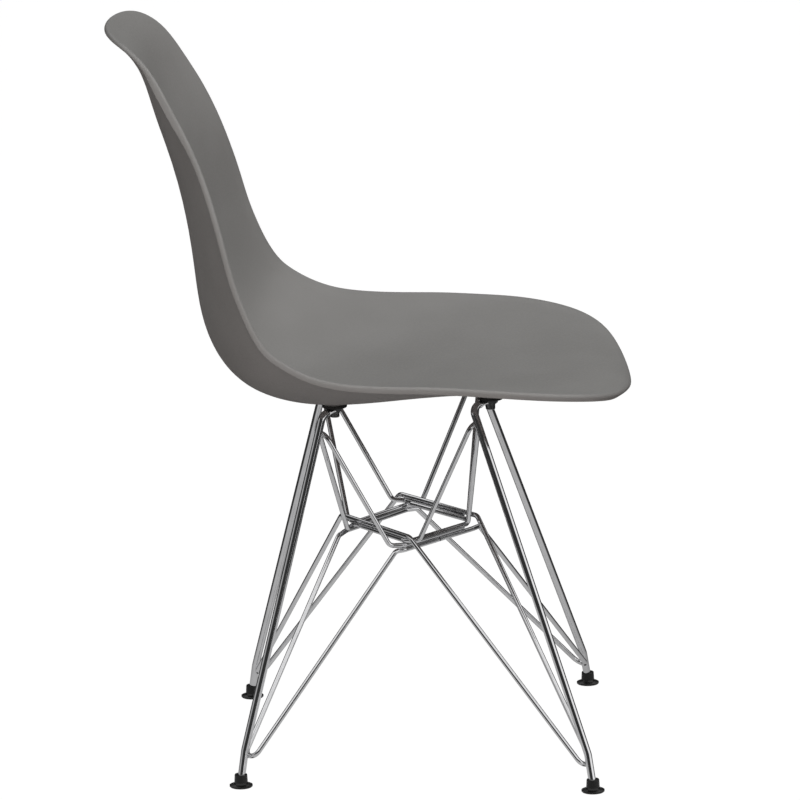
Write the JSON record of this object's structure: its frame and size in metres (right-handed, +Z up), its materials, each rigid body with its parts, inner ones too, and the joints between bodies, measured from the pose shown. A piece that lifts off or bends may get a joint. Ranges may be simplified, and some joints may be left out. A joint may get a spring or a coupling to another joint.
{
  "type": "side chair",
  "caption": "Side chair with a moulded plastic bucket seat and back in one shell, on a braced base of bent chromed rod and wire with black glides.",
  "frame": {"origin": "on the floor, under the middle of the chair's bounding box", "axes": "+Z up, the sitter faces -Y, the sitter's left is +X"},
  "size_m": [0.4628, 0.5399, 0.7728],
  "materials": {
    "shell_plastic": "fine satin texture, warm mid grey",
    "chrome_rod": "polished chrome plate",
    "pad_rubber": "matte black",
    "glide_plastic": "black nylon, satin",
    "screw_steel": "black oxide",
    "insert_brass": "machined"
  },
  "bodies": {
    "root": {"seat_shell": "shell_plastic", "mount_pad_front_right": "pad_rubber", "mount_pad_front_left": "pad_rubber", "mount_pad_rear_right": "pad_rubber", "mount_pad_rear_left": "pad_rubber", "threaded_insert_front_right": "insert_brass", "threaded_insert_front_left": "insert_brass", "threaded_insert_rear_right": "insert_brass", "threaded_insert_rear_left": "insert_brass", "cap_screw_front_right": "screw_steel", "cap_screw_front_left": "screw_steel", "cap_screw_rear_right": "screw_steel", "cap_screw_rear_left": "screw_steel", "washer_front_right": "screw_steel", "washer_front_left": "screw_steel", "washer_rear_right": "screw_steel", "washer_rear_left": "screw_steel", "leg_front_right": "chrome_rod", "leg_front_left": "chrome_rod", "leg_rear_right": "chrome_rod", "leg_rear_left": "chrome_rod", "upper_brace_front_right": "chrome_rod", "upper_brace_front_left": "chrome_rod", "upper_brace_rear_right": "chrome_rod", "upper_brace_rear_left": "chrome_rod", "lower_brace_front_right": "chrome_rod", "lower_brace_front_left": "chrome_rod", "lower_brace_rear_right": "chrome_rod", "lower_brace_rear_left": "chrome_rod", "glide_front_right": "glide_plastic", "glide_front_left": "glide_plastic", "glide_rear_right": "glide_plastic", "glide_rear_left": "glide_plastic"}
  },
  "joints": []
}
